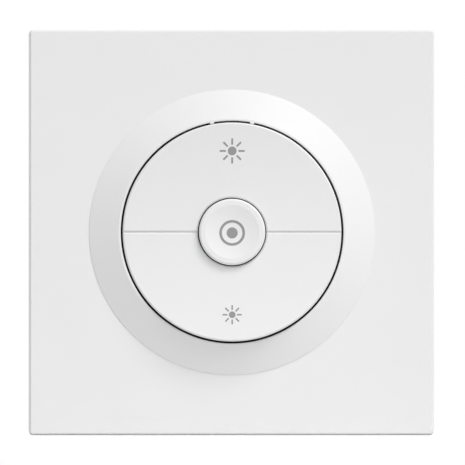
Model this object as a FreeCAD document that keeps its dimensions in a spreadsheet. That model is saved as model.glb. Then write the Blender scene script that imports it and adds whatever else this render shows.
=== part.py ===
import FreeCAD, Part
import math
import os
from types import SimpleNamespace

import Sketcher

# A smart dimmer module for a 60 mm wall box: a square cover plate, a sloping round collar, two half-round
# rocker keys and a centre push button, on a steel frame with a cup of electronics behind it.
# Millimetres. X to the right, Z up, the wall is the plane Y = 0 and the front faces -Y. A depth is a
# distance in front of the wall, so a point at depth 9 has Y = -9 and the cup lies at negative depths.

SIZES = {
    # Cover plate
    "plate_side": 82.0,
    "plate_front": 9.0,
    "plate_skin": 2.0,
    "plate_wall": 1.8,
    "plate_corner": 0.8,
    "plate_edge": 0.3,
    "plate_draft": 1.2,
    "plate_seam": 0.06,
    "plate_lip_width": 1.4,
    "plate_lip_height": 1.0,
    # Clips that hold the plate on the frame
    "clip_offset": 24.0,
    "clip_width": 5.2,
    "clip_thick": 1.6,
    "clip_tip": 1.6,
    "clip_barb": 1.0,
    "clip_barb_height": 1.6,
    "clip_clearance": 0.2,
    # Collar
    "collar_radius": 28.8,
    "collar_cover": 0.9,
    "collar_rise": 0.12,
    "collar_lip_flat": 0.4,
    "collar_front": 12.0,
    "collar_lip_edge": 0.12,
    "collar_wall": 1.4,
    "collar_foot": 1.4,
    "collar_skin": 1.6,
    "collar_leg_width": 8.0,
    "collar_leg_thick": 1.2,
    "collar_leg_setback": 0.35,
    "collar_barb": 0.75,
    "collar_barb_height": 0.9,
    "collar_barb_gap": 0.1,
    "nib_spread": 4.02,
    "nib_width": 0.8,
    "nib_reach": 0.58,
    "nib_skew": 0.15,
    "nib_drop": 1.6,
    # Rocker keys
    "bore_radius": 22.46,
    "key_gap": 0.42,
    "key_split": 0.06,
    "split_lip": 1.2,
    "split_relief": 0.15,
    "key_dish": 125.0,
    "key_skin": 1.6,
    "key_skirt": 1.2,
    "key_skirt_back": 7.5,
    "key_stock": 2.6,
    "key_edge": 0.3,
    # Hinge of each key
    "hinge_height": 2.2,
    "ear_room": 0.4,
    "pin_radius": 0.75,
    "pin_clearance": 0.05,
    "ear_inner": 12.0,
    "ear_thick": 2.0,
    "ear_margin": 1.4,
    "ear_reach": 2.0,
    "lug_thick": 1.6,
    "lug_margin": 1.3,
    "lug_gap": 0.1,
    "ear_clearance": 0.25,
    # Switches and the posts that press them
    "switch_gap": 1.1,
    "switch_side": 6.0,
    "switch_tall": 3.5,
    "switch_window": 6.8,
    "plunger_radius": 1.7,
    "plunger_out": 1.5,
    "plunger_root": 0.7,
    "plunger_room": 0.8,
    "plunger_clearance": 0.1,
    "plunger_tip": 0.2,
    "post_width": 2.6,
    "post_gap": 0.05,
    # Stop hooks of the keys
    "hook_offset": 9.0,
    "hook_width": 3.0,
    "hook_inner": 17.0,
    "hook_thick": 1.2,
    "hook_barb": 0.9,
    "hook_barb_height": 0.6,
    "hook_gap": 0.1,
    "hook_clearance": 0.3,
    # Centre button
    "button_gap": 0.24,
    "button_hole": 6.92,
    "button_rise": 1.4,
    "button_dish": 21.0,
    "button_dish_radius": 5.45,
    "button_edge": 0.35,
    "button_skirt": 2.8,
    "button_skin": 1.4,
    "guide_play": 0.46,
    "stem_wall": 0.9,
    "stem_finger": 4.4,
    "stem_slit": 2.6,
    "stem_barb": 0.6,
    "guide_clearance": 0.06,
    "guide_wall": 0.94,
    "guide_height": 5.0,
    "button_post": 1.0,
    # Carrier
    "carrier_radius": 26.0,
    "carrier_thick": 1.8,
    "carrier_land": 0.65,
    # Light guide and its lamp
    "guide_half": 3.4,
    "guide_thick": 0.8,
    "guide_drop": 1.0,
    "guide_foot": 1.2,
    "guide_stub": 1.2,
    "guide_gap": 0.05,
    "lamp_inset": 0.5,
    "lamp_wide": 1.6,
    "lamp_tall": 1.0,
    "lamp_thick": 0.6,
    # Steel frame
    "frame_room": 3.7,
    "frame_corner": 2.0,
    "frame_thick": 1.2,
    "frame_gap": 0.3,
    "slot_radius": 30.0,
    "slot_width": 4.0,
    "slot_length": 7.0,
    "tongue_width": 8.0,
    "tongue_gap": 0.4,
    # Housing cup
    "cup_half": 21.5,
    "cup_wall": 1.6,
    "cup_floor": 1.8,
    "cup_room": 0.25,
    "flange_land": 2.2,
    "flange_corner": 0.46,
    "flange_thick": 1.8,
    "cup_edge": 0.8,
    "boss_radius": 2.3,
    "boss_cover": 0.1,
    "boss_length": 11.2,
    # Screws
    "carrier_screw_radius": 1.25,
    "carrier_screw_length": 11.0,
    "carrier_screw_head": 2.3,
    "frame_screw_room": 2.53,
    "frame_screw_radius": 1.25,
    "frame_screw_head": 2.3,
    "frame_screw_head_tall": 1.5,
    "frame_screw_length": 2.8,
    "screw_clearance": 0.05,
    "drive_width": 0.6,
    "drive_deep": 0.6,
    # Circuit boards and the spacer between them
    "board_thick": 1.6,
    "board_gap": 0.3,
    "board_edge": 0.15,
    "boss_gap": 0.1,
    "spacer_room": 1.6,
    "spacer_wall": 1.0,
    "spacer_web": 0.8,
    "spacer_web_drop": 1.2,
    "spacer_inset": 0.1,
    "link_clearance": 0.4,
    "seat_gap": 0.05,
    # Link between the boards
    "header_offset": 14.2,
    "header_wide": 2.5,
    "header_pitch": 2.54,
    "header_base": 2.5,
    "header_pin": 0.32,
    "header_pin_length": 3.4,
    "socket_clearance": 0.1,
    # Parts on the control board
    "radio_inset": 1.2,
    "radio_wide": 11.0,
    "radio_tall": 16.0,
    "radio_board": 0.8,
    "radio_margin": 0.8,
    "radio_aerial": 3.6,
    "shield_height": 1.8,
    "shield_gap": 0.2,
    "shield_wall": 0.2,
    "chip_x": 12.0,
    "chip_z": 1.5,
    "chip_side": 7.0,
    "chip_thick": 0.9,
    # Parts on the power board
    "core_x": -7.0,
    "core_z": 6.2,
    "core_wide": 14.0,
    "core_thick": 6.0,
    "core_tall": 10.0,
    "core_yoke": 2.0,
    "core_leg": 4.4,
    "core_window": 3.0,
    "winding_gap": 0.1,
    "bulk_x": 4.6,
    "bulk_z": 10.6,
    "bulk_radius": 4.0,
    "bulk_tall": 10.2,
    "bulk_crimp": 0.4,
    "film_x": -7.6,
    "film_z": -6.0,
    "film_wide": 13.0,
    "film_thick": 6.0,
    "film_tall": 9.0,
    "choke_x": 5.2,
    "choke_z": -6.8,
    "choke_radius": 4.0,
    "choke_hub": 2.0,
    "choke_flange": 1.0,
    "choke_tall": 8.0,
    "varistor_x": 5.0,
    "varistor_z": 0.2,
    "varistor_radius": 4.4,
    "varistor_thick": 3.4,
    "fuse_z": -14.0,
    "fuse_length": 13.0,
    "fuse_radius": 1.8,
    "fuse_cap": 0.2,
    "fuse_cap_length": 3.0,
    # Power stage behind the power board
    "spreader_wide": 28.0,
    "spreader_gap": 2.8,
    "spreader_thick": 1.5,
    "transistor_offset": 6.2,
    "transistor_z": 6.0,
    "transistor_wide": 10.0,
    "transistor_tall": 9.0,
    "transistor_thick": 4.4,
    "lead_radius": 0.4,
    # Terminals
    "terminal_pitch": 8.0,
    "cage_wide": 6.4,
    "cage_tall": 7.0,
    "cage_deep": 8.0,
    "cage_wall": 0.8,
    "cage_gap": 0.1,
    "terminal_wall": 1.2,
    "terminal_foot": 1.8,
    "terminal_room": 1.1,
    "terminal_bevel": 1.8,
    "corner_room": 0.43,
    "wire_window": 4.8,
    "clamp_radius": 1.5,
    "clamp_head": 2.0,
    "clamp_head_tall": 1.6,
    "clamp_tip": 0.25,
    "driver_radius": 2.3,
}


class Size:
    """A length as sheet formula and as number, so that one sum gives a part both."""

    def __init__(self, formula, value):
        self.formula = formula
        self.value = float(value)

    def __add__(self, other):
        other = as_size(other)
        return Size(f"({self.formula} + {other.formula})", self.value + other.value)

    def __radd__(self, other):
        return as_size(other) + self

    def __sub__(self, other):
        other = as_size(other)
        return Size(f"({self.formula} - {other.formula})", self.value - other.value)

    def __rsub__(self, other):
        return as_size(other) - self

    def __mul__(self, other):
        other = as_size(other)
        return Size(f"({self.formula} * {other.formula})", self.value * other.value)

    def __rmul__(self, other):
        return as_size(other) * self

    def __truediv__(self, other):
        other = as_size(other)
        return Size(f"({self.formula} / {other.formula})", self.value / other.value)

    def __neg__(self):
        return as_size(0) - self


def as_size(number):
    if isinstance(number, Size):
        return number
    return Size(repr(float(number)), number)


def smaller(first, second):
    return Size(f"min({first.formula}; {second.formula})", min(first.value, second.value))


document = FreeCAD.newDocument("SmartDimmer")
sheet = document.addObject("Spreadsheet::Sheet", "Sizes")
for row, (alias, number) in enumerate(SIZES.items(), start=1):
    sheet.set(f"A{row}", alias)
    sheet.set(f"B{row}", str(number))
    sheet.setAlias(f"B{row}", alias)
document.recompute()

s = SimpleNamespace(**{alias: Size(f"Sizes.{alias}", number) for alias, number in SIZES.items()})

ROOT_TWO = math.sqrt(2)

# Layers, from the wall forwards
flange_back = s.frame_thick
carrier_back = flange_back + s.flange_thick
carrier_front = carrier_back + s.carrier_thick
plate_inside = s.plate_front - s.plate_skin
key_face = s.collar_front
control_front = carrier_back - s.shield_gap - s.shield_height - s.radio_board
control_back = control_front - s.board_thick
switch_front = control_front + s.switch_tall
plunger_front = switch_front + s.plunger_out
spacer_front = control_back - s.seat_gap
spacer_back = spacer_front - s.spacer_web_drop - s.spacer_web - s.spacer_room - s.core_tall
power_front = spacer_back - s.seat_gap
power_back = power_front - s.board_thick
cage_front = power_back - s.seat_gap
cage_back = cage_front - s.cage_deep
cup_floor = cage_back - s.cup_room
cup_back = cup_floor - s.cup_floor
key_radius = s.bore_radius - s.key_gap

# The carrier's screws set the cup's cut corners and the flange
boss_offset = (s.carrier_radius - s.carrier_land - s.carrier_screw_head) / ROOT_TWO
cup_diagonal = boss_offset * 2 + (s.boss_radius + s.boss_cover) * ROOT_TWO
frame_screw_offset = (s.carrier_radius + s.frame_screw_room + s.frame_screw_head) / ROOT_TWO
flange_half = frame_screw_offset + s.frame_screw_head + s.flange_land
flange_diagonal = frame_screw_offset * 2 + (s.frame_screw_head + s.flange_corner) * ROOT_TWO
cup_inner = s.cup_half - s.cup_wall
cup_inner_diagonal = cup_diagonal - s.cup_wall * ROOT_TWO
board_half = cup_inner - s.board_gap
control_diagonal = boss_offset * 2 - (s.boss_radius + s.boss_gap) * ROOT_TWO
power_diagonal = cup_inner_diagonal - s.board_gap * ROOT_TWO
frame_side = s.plate_side - 2 * (s.plate_wall + s.frame_room)
parts = []


def bind(thing, place, size):
    """Tie one property of a document object to the sheet."""
    thing.setExpression(place, as_size(size).formula)


def finished(thing, label):
    """Name the object that makes one sub-part."""
    thing.Label = label
    parts.append(thing)
    return thing


# Outlines for sketches: a list of steps (x, y), where a third value bends the way to that step, to the
# left when positive, with that radius; or a Disc.
class Disc:
    def __init__(self, x, y, radius):
        self.x = as_size(x)
        self.y = as_size(y)
        self.radius = as_size(radius)


def rectangle(left, right, low, high):
    return [(left, low), (right, low), (right, high), (left, high)]


def centred(x, y, width, height):
    """A rectangle about a point."""
    return rectangle(x - width / 2, x + width / 2, y - height / 2, y + height / 2)


def cut_square(half, diagonal):
    """A square with cut corners: the cuts are the lines where |x| + |y| is the diagonal value."""
    short = diagonal - half
    return [
        (-short, -half), (short, -half), (half, -short), (half, short),
        (short, half), (-short, half), (-half, short), (-half, -short),
    ]


def round_square(half, corner):
    short = half - corner
    return [
        (-short, -half, corner), (short, -half), (half, -short, corner), (half, short),
        (short, half, corner), (-short, half), (-half, short, corner), (-half, -short),
    ]


def round_slot(x, y, length, width):
    """A slot along X with round ends."""
    half = width / 2
    left = x - length / 2 + half
    right = x + length / 2 - half
    return [
        (left, y - half, half), (right, y - half), (right + half, y, half),
        (right, y + half, half), (left, y + half), (left - half, y, half),
    ]


def quarters(x, y):
    """The four points with these distances from both axes."""
    return [(x, y), (-x, y), (-x, -y), (x, -y)]


def lock(sketch, geometry, end, point):
    """Hold one end of a sketch line at a point of the sheet's sizes."""
    for kind, size in zip(("DistanceX", "DistanceY"), point):
        number = sketch.addConstraint(Sketcher.Constraint(kind, -1, 1, geometry, end, size.value))
        sketch.setExpression(f"Constraints[{number}]", size.formula)


def radius_lock(sketch, geometry, radius):
    number = sketch.addConstraint(Sketcher.Constraint("Radius", geometry, radius.value))
    sketch.setExpression(f"Constraints[{number}]", radius.formula)


def arc_between(start, end, radius):
    """The short arc from start to end, turning left for a positive radius."""
    way = end - start
    height = math.sqrt(radius ** 2 - (way.Length / 2) ** 2)
    left = FreeCAD.Vector(-way.y, way.x, 0).normalize()
    centre = (start + end) / 2 + left * math.copysign(height, radius)
    first, last = (start, end) if radius > 0 else (end, start)
    circle = Part.Circle(centre, FreeCAD.Vector(0, 0, 1), abs(radius))
    return Part.ArcOfCircle(circle, circle.parameter(first), circle.parameter(last))


def draw_outline(sketch, steps):
    corners = [(as_size(step[0]), as_size(step[1])) for step in steps]
    places = [FreeCAD.Vector(x.value, y.value, 0) for x, y in corners]
    edges = []
    for number, step in enumerate(steps):
        start, end = places[number - 1], places[number]
        if len(step) == 3:
            bend = as_size(step[2])
            turns_left = bend.value > 0
            edge = sketch.addGeometry(arc_between(start, end, bend.value), False)
            radius_lock(sketch, edge, bend if turns_left else -bend)
        else:
            turns_left = True
            edge = sketch.addGeometry(Part.LineSegment(start, end), False)
        edges.append((edge, 1, 2) if turns_left else (edge, 2, 1))
    for number, corner in enumerate(corners):
        edge, _, last = edges[number]
        following, first, _ = edges[(number + 1) % len(edges)]
        sketch.addConstraint(Sketcher.Constraint("Coincident", edge, last, following, first))
        lock(sketch, edge, last, corner)


def draw(sketch, shapes):
    for shape in shapes:
        if isinstance(shape, Disc):
            centre = FreeCAD.Vector(shape.x.value, shape.y.value, 0)
            circle = Part.Circle(centre, FreeCAD.Vector(0, 0, 1), shape.radius.value)
            edge = sketch.addGeometry(circle, False)
            lock(sketch, edge, 3, (shape.x, shape.y))
            radius_lock(sketch, edge, shape.radius)
        else:
            draw_outline(sketch, shape)


def new_body(name):
    return document.addObject("PartDesign::Body", name)


def origin_plane(body, role):
    return next(item for item in body.Origin.OriginFeatures if item.Role == role)


def new_sketch(body, role, offset):
    sketch = body.newObject("Sketcher::SketchObject", "Sketch")
    sketch.AttachmentSupport = [(origin_plane(body, role), "")]
    sketch.MapMode = "FlatFace"
    bind(sketch, "AttachmentOffset.Base.z", offset)
    return sketch


def volume(body):
    document.recompute()
    return 0.0 if body.Shape.isNull() else body.Shape.Volume


def grown(body, before, feature):
    if volume(body) <= before:
        raise RuntimeError(f"{body.Name}: {feature.Name} adds nothing")
    return feature


def shrunk(body, before, feature):
    if volume(body) >= before:
        raise RuntimeError(f"{body.Name}: {feature.Name} cuts nothing")
    return feature


def pad(body, back, front, shapes, draft=None):
    """Build shapes forwards from one depth to another; shapes lie in X and Z."""
    before = volume(body)
    sketch = new_sketch(body, "XZ_Plane", back)
    draw(sketch, shapes)
    feature = body.newObject("PartDesign::Pad", "Pad")
    feature.Profile = sketch
    bind(feature, "Length", front - back)
    if draft is not None:
        bind(feature, "TaperAngle", -draft)
    return grown(body, before, feature)


def cut(body, back, front, shapes):
    """Cut shapes away between two depths."""
    before = volume(body)
    sketch = new_sketch(body, "XZ_Plane", front)
    draw(sketch, shapes)
    feature = body.newObject("PartDesign::Pocket", "Pocket")
    feature.Profile = sketch
    bind(feature, "Length", front - back)
    return shrunk(body, before, feature)


def side_pad(body, left, right, shapes):
    """Build shapes to the right from one X to another; shapes lie in Y and Z."""
    before = volume(body)
    sketch = new_sketch(body, "YZ_Plane", left)
    draw(sketch, shapes)
    feature = body.newObject("PartDesign::Pad", "Pad")
    feature.Profile = sketch
    bind(feature, "Length", right - left)
    return grown(body, before, feature)


def side_cut(body, left, right, shapes):
    """Cut shapes away between two X values; shapes lie in Y and Z."""
    before = volume(body)
    sketch = new_sketch(body, "YZ_Plane", right)
    draw(sketch, shapes)
    feature = body.newObject("PartDesign::Pocket", "Pocket")
    feature.Profile = sketch
    bind(feature, "Length", right - left)
    return shrunk(body, before, feature)


def level_cut(body, low, high, shapes):
    """Cut shapes away between two heights; shapes lie in X and Y."""
    before = volume(body)
    sketch = new_sketch(body, "XY_Plane", high)
    draw(sketch, shapes)
    feature = body.newObject("PartDesign::Pocket", "Pocket")
    feature.Profile = sketch
    bind(feature, "Length", high - low)
    return shrunk(body, before, feature)


def turn(body, steps):
    """Revolve an outline of (radius, -depth) steps about the button's axis."""
    before = volume(body)
    sketch = new_sketch(body, "XY_Plane", 0)
    draw(sketch, [steps])
    feature = body.newObject("PartDesign::Revolution", "Revolution")
    feature.Profile = sketch
    feature.ReferenceAxis = (sketch, ["V_Axis"])
    feature.Angle = 360
    return grown(body, before, feature)


def around(body, features, count):
    """Repeat features round the button's axis."""
    before = volume(body)
    pattern = body.newObject("PartDesign::PolarPattern", "PolarPattern")
    pattern.Originals = features
    pattern.Axis = (features[0].Profile[0], ["N_Axis"])
    pattern.Angle = 360
    pattern.Occurrences = count
    body.Tip = pattern
    if volume(body) == before:
        raise RuntimeError(f"{body.Name}: the pattern changes nothing")
    return pattern


def mirrored(body, features):
    """Repeat features on the other side of the YZ plane."""
    before = volume(body)
    mirror = body.newObject("PartDesign::Mirrored", "Mirrored")
    mirror.Originals = features
    mirror.MirrorPlane = (origin_plane(body, "YZ_Plane"), [""])
    body.Tip = mirror
    if volume(body) == before:
        raise RuntimeError(f"{body.Name}: the mirror changes nothing")
    return mirror


def edge_points(edge):
    first, last = edge.ParameterRange
    return [edge.valueAt(first + (last - first) * share) for share in (0.0, 0.25, 0.5, 0.75, 1.0)]


def dress(body, kind, prop, size, wanted):
    """Fillet or chamfer every edge whose points all pass the test."""
    base = body.Tip
    names = [
        f"Edge{number}"
        for number, edge in enumerate(base.Shape.Edges, start=1)
        if all(wanted(point) for point in edge_points(edge))
    ]
    if not names:
        raise RuntimeError(f"{body.Name}: no edge to dress")
    feature = body.newObject(f"PartDesign::{kind}", kind)
    feature.Base = (base, names)
    bind(feature, prop, size)
    document.recompute()
    return feature


def near(value, target):
    return abs(value - target) < 0.001


def on_cut_square(point, half, diagonal):
    """Whether a point lies on the outline of a square with cut corners."""
    x, z = abs(point.x), abs(point.z)
    return near(max(x, z), half.value) or near(x + z, diagonal.value)


def place(thing, x, depth, z):
    """Put a primitive's own zero point at X, depth and Z."""
    bind(thing, ".Placement.Base.x", x)
    bind(thing, ".Placement.Base.y", -as_size(depth))
    bind(thing, ".Placement.Base.z", z)


def block(left, right, back, front, low, high, name="Block"):
    """A box between two X values, two depths and two heights."""
    box = document.addObject("Part::Box", name)
    bind(box, "Length", right - left)
    bind(box, "Width", front - back)
    bind(box, "Height", high - low)
    place(box, left, front, low)
    return box


def block_at(x, z, wide, tall, back, front, name="Block"):
    return block(x - wide / 2, x + wide / 2, back, front, z - tall / 2, z + tall / 2, name)


def peg(x, z, radius, back, front, name="Peg"):
    """A cylinder that points forwards from one depth to another."""
    cylinder = document.addObject("Part::Cylinder", name)
    bind(cylinder, "Radius", radius)
    bind(cylinder, "Height", front - back)
    cylinder.Placement.Rotation = FreeCAD.Rotation(FreeCAD.Vector(1, 0, 0), 90)
    place(cylinder, x, back, z)
    return cylinder


def upright(x, depth, radius, low, high, name="Upright"):
    """A cylinder along Z."""
    cylinder = document.addObject("Part::Cylinder", name)
    bind(cylinder, "Radius", radius)
    bind(cylinder, "Height", high - low)
    place(cylinder, x, depth, low)
    return cylinder


def fused(things, name="Fusion"):
    fusion = document.addObject("Part::MultiFuse", name)
    fusion.Shapes = things
    return fusion


def less(base, tool, name="Cut"):
    result = document.addObject("Part::Cut", name)
    result.Base = base
    result.Tool = tool
    return result


def group(things, name="Group"):
    compound = document.addObject("Part::Compound", name)
    compound.Links = things
    return compound


# Shared places
plate_hole = s.collar_radius - s.collar_cover
plate_lip_back = plate_inside - s.plate_lip_height
tongue_left = frame_side / 2 - s.frame_thick
leg_left = tongue_left - s.clip_clearance - s.clip_thick
barb_back = carrier_back + s.clip_clearance
hinge_depth = key_face - s.key_skin - s.ear_room - s.ear_margin
clip_low = s.clip_offset - s.clip_width / 2
clip_high = s.clip_offset + s.clip_width / 2
pin_end = s.ear_inner + s.ear_thick + s.lug_gap
lug_right = pin_end + s.lug_thick
ear_front = hinge_depth + s.ear_margin
hook_outer = s.hook_inner + s.hook_thick
hook_tip = hook_outer + s.hook_barb
hook_back = carrier_back - s.hook_gap - s.hook_barb_height
guide_tube = s.button_hole - s.guide_play
guide_bore = guide_tube - s.guide_wall
stem_radius = guide_bore - s.guide_clearance
stem_hook = stem_radius + s.stem_barb
guide_inner = s.bore_radius - s.guide_gap
guide_outer = guide_inner + s.guide_thick
guide_back = carrier_front + s.guide_gap * 2
guide_front = s.collar_front - s.guide_drop
lamp_height = board_half - s.lamp_inset - s.lamp_tall / 2
lamp_front = control_front + s.lamp_thick
switch_height = lamp_height - s.lamp_tall / 2 - s.switch_gap - s.switch_side / 2
terminal_columns = [s.terminal_pitch * share for share in (-1.5, -0.5, 0.5, 1.5)]
# The terminals lie as low as the cup's lower wall and its cut corners allow
wall_limit = cup_inner - s.terminal_foot
corner_limit = cup_inner_diagonal - terminal_columns[-1] - s.cage_wide / 2
terminal_height = s.cage_tall / 2 + s.terminal_room - smaller(wall_limit, corner_limit - s.corner_room)
cage_low = terminal_height - s.cage_tall / 2
cage_high = terminal_height + s.cage_tall / 2
terminal_depth = (cage_front + cage_back) / 2
terminal_low = cage_low - s.terminal_foot


def cover_plate():
    body = new_body("cover_plate")
    half = s.plate_side / 2
    pad(body, as_size(0), s.plate_front, [round_square(half, s.plate_corner)], s.plate_draft)
    cut(body, as_size(0), plate_inside, [round_square(half - s.plate_wall, s.plate_corner)])
    pad(body, plate_lip_back, plate_inside, [Disc(0, 0, plate_hole + s.plate_lip_width)])
    cut(body, as_size(0), s.plate_front, [Disc(0, 0, plate_hole)])
    leg_right = leg_left + s.clip_thick
    leg = pad(body, s.clip_tip, plate_inside, [rectangle(leg_left, leg_right, clip_low, clip_high)])
    barb = pad(body, barb_back, barb_back + s.clip_barb_height,
               [rectangle(leg_left + s.clip_thick / 2, leg_right + s.clip_barb, clip_low, clip_high)])
    around(body, [leg, barb], 4)
    reach = plate_hole.value + 1
    dress(body, "Chamfer", "Size", s.plate_edge,
          lambda p: near(p.y, -s.plate_front.value) and max(abs(p.x), abs(p.z)) > reach)
    return finished(body, "cover_plate")


def trim_collar():
    body = new_body("trim_collar")
    bore = s.bore_radius
    lip = bore + s.collar_lip_flat
    tube = bore + s.collar_wall
    plug = plate_hole - s.plate_seam
    rim_front = s.plate_front + s.collar_rise
    slope = (s.collar_front - rim_front) / (s.collar_radius - lip)
    foot_inner = plug - s.collar_foot
    under_foot = s.plate_front - s.collar_foot
    under_tube = rim_front + slope * (s.collar_radius - tube) - s.collar_skin
    back = carrier_front + s.guide_gap * 2
    turn(body, [
        (bore, -back), (tube, -back), (tube, -under_tube), (foot_inner, -under_foot),
        (plug, -under_foot), (plug, -s.plate_front), (s.collar_radius, -s.plate_front),
        (s.collar_radius, -rim_front), (lip, -s.collar_front), (bore + s.collar_lip_edge, -s.collar_front),
        (bore, -(s.collar_front - s.collar_lip_edge)),
    ])
    # Legs that snap through the plate and hook behind its lip
    half = s.collar_leg_width / 2
    leg_outer = plug - s.collar_leg_setback
    leg_inner = leg_outer - s.collar_leg_thick
    barb_front = plate_lip_back - s.collar_barb_gap
    leg_back = barb_front - s.collar_barb_height
    leg = pad(body, leg_back, under_foot + s.collar_foot / 2, [rectangle(leg_inner, leg_outer, -half, half)])
    barb = pad(body, leg_back, barb_front,
               [rectangle(leg_inner + s.collar_leg_thick / 2, plug + s.collar_barb, -half, half)])
    around(body, [leg, barb], 4)
    window = s.guide_half + s.guide_gap
    cut(body, back, guide_front + s.guide_gap,
        [rectangle(-window, window, bore - 1, guide_outer + s.guide_gap)])
    # The two small marks in the ring gap, whose inner ends follow the keys' round
    nib_near = s.nib_spread - s.nib_width / 2
    nib_far = s.nib_spread + s.nib_width / 2
    nib_low = bore - s.nib_reach
    nib_high = bore + s.collar_lip_edge
    for side in (-1, 1):
        pad(body, s.collar_front - s.nib_drop, s.collar_front,
            [[(side * nib_near, nib_low), (side * nib_far, nib_low - s.nib_skew),
              (side * nib_far, nib_high), (side * nib_near, nib_high)]])
    return finished(body, "trim_collar")


def half_ring(body, back, front, outer, inner, flat):
    """Pad the half disc above a flat edge, less the half-round notch for the button."""
    before = volume(body)
    sketch = new_sketch(body, "XZ_Plane", back)
    zero, up = FreeCAD.Vector(0, 0, 0), FreeCAD.Vector(0, 0, 1)
    ends = []
    arcs = []
    for radius in (outer, inner):
        rise = math.asin(flat.value / radius.value)
        arc = Part.ArcOfCircle(Part.Circle(zero, up, radius.value), rise, math.pi - rise)
        ends.append((arc.StartPoint, arc.EndPoint))
        arcs.append(sketch.addGeometry(arc, False))
        sketch.addConstraint(Sketcher.Constraint("Coincident", arcs[-1], 3, -1, 1))
        radius_lock(sketch, arcs[-1], radius)
    for end in (1, 2):
        line = sketch.addGeometry(Part.LineSegment(ends[0][end - 1], ends[1][end - 1]), False)
        sketch.addConstraint(Sketcher.Constraint("Coincident", line, 1, arcs[0], end))
        sketch.addConstraint(Sketcher.Constraint("Coincident", line, 2, arcs[1], end))
        sketch.addConstraint(Sketcher.Constraint("Horizontal", line))
        number = sketch.addConstraint(Sketcher.Constraint("DistanceY", -1, 1, line, 1, flat.value))
        sketch.setExpression(f"Constraints[{number}]", flat.formula)
    feature = body.newObject("PartDesign::Pad", "Pad")
    feature.Profile = sketch
    bind(feature, "Length", front - back)
    return grown(body, before, feature)


def upper_key():
    body = new_body("upper_key")
    flat = s.key_split / 2
    stock_front = key_face + s.key_stock
    dish_centre = -(key_face + s.key_dish)
    half_ring(body, s.key_skirt_back, stock_front, key_radius, s.button_hole, flat)
    # The hollow behind the skin, with the same curve as the face
    inner = new_body("upper_key_core")
    half_ring(inner, s.key_skirt_back - 1, stock_front, key_radius - s.key_skirt,
              s.button_hole + s.key_skirt, flat + s.key_skirt)
    wide = key_radius + 1
    side_cut(inner, -wide, wide, [Disc(dish_centre, 0, s.key_dish + s.key_skin)])
    hollow = body.newObject("PartDesign::Boolean", "Hollow")
    hollow.Type = "Cut"
    hollow.setObjects([inner])
    body.Tip = hollow
    document.recompute()
    # Hinge lugs and pins
    lug = pad(body, hinge_depth - s.lug_margin, key_face,
              [rectangle(pin_end, lug_right, s.hinge_height - s.lug_margin, s.hinge_height + s.lug_margin)])
    pin = side_pad(body, s.ear_inner + s.lug_gap, lug_right,
                   [Disc(-hinge_depth, s.hinge_height, s.pin_radius)])
    # The stop hooks and the post that presses the switch
    left = s.hook_offset - s.hook_width / 2
    right = s.hook_offset + s.hook_width / 2
    hook = pad(body, hook_back, key_face, [rectangle(left, right, s.hook_inner, hook_outer)])
    barb = pad(body, hook_back, hook_back + s.hook_barb_height,
               [rectangle(left, right, s.hook_inner + s.hook_thick / 2, hook_tip)])
    mirrored(body, [lug, pin, hook, barb])
    pad(body, plunger_front + s.post_gap, key_face,
        [centred(as_size(0), switch_height, s.post_width, s.post_width)])
    # Notches in the straight skirt for the carrier's ears
    notch = cut(body, s.key_skirt_back, ear_front + s.ear_clearance,
                [rectangle(s.ear_inner - s.ear_clearance, pin_end, as_size(0), flat + s.key_skirt)])
    mirrored(body, [notch])
    # Behind the lip at the split the two keys stand further apart
    cut(body, s.key_skirt_back, key_face - s.split_lip, [rectangle(-wide, wide, as_size(0), s.split_relief)])
    side_cut(body, -wide, wide, [Disc(dish_centre, 0, s.key_dish)])
    centre = key_face.value + s.key_dish.value
    dress(body, "Chamfer", "Size", s.key_edge,
          lambda p: near(math.hypot(centre + p.y, p.z), s.key_dish.value))
    return finished(body, "upper_key")


def lower_key(twin):
    mirror = document.addObject("Part::Mirroring", "lower_key")
    mirror.Source = twin
    mirror.Base = FreeCAD.Vector(0, 0, 0)
    mirror.Normal = FreeCAD.Vector(0, 0, 1)
    return finished(mirror, "lower_key")


def centre_button():
    body = new_body("centre_button")
    radius = s.button_hole - s.button_gap
    front = s.collar_front + s.button_rise
    skirt_back = front - s.button_skirt
    dish_half = s.button_dish_radius
    dish_drop = s.button_dish.value - math.sqrt(s.button_dish.value ** 2 - dish_half.value ** 2)
    stem_inner = stem_radius - s.stem_wall
    stem_back = hook_back
    bottom = front - dish_drop
    under = bottom - s.button_skin
    post_back = plunger_front + s.post_gap
    hook_front = stem_back + s.hook_barb_height
    turn(body, [
        (0, -post_back), (s.button_post, -post_back), (s.button_post, -under), (stem_inner, -under),
        (stem_inner, -stem_back), (stem_hook, -stem_back), (stem_hook, -hook_front),
        (stem_radius, -hook_front), (stem_radius, -skirt_back), (radius, -skirt_back),
        (radius, -(front - s.button_edge)), (radius - s.button_edge, -front),
        (dish_half, -front), (0, -bottom, s.button_dish),
    ])
    finger = s.stem_finger / 2
    slit_front = stem_back + s.stem_slit
    for side in (-1, 1):
        near_x, far_x = sorted((side * finger, side * (stem_hook + 1)), key=lambda size: size.value)
        cut(body, stem_back, slit_front, [rectangle(near_x, far_x, -stem_hook, stem_hook)])
    return finished(body, "centre_button")


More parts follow.
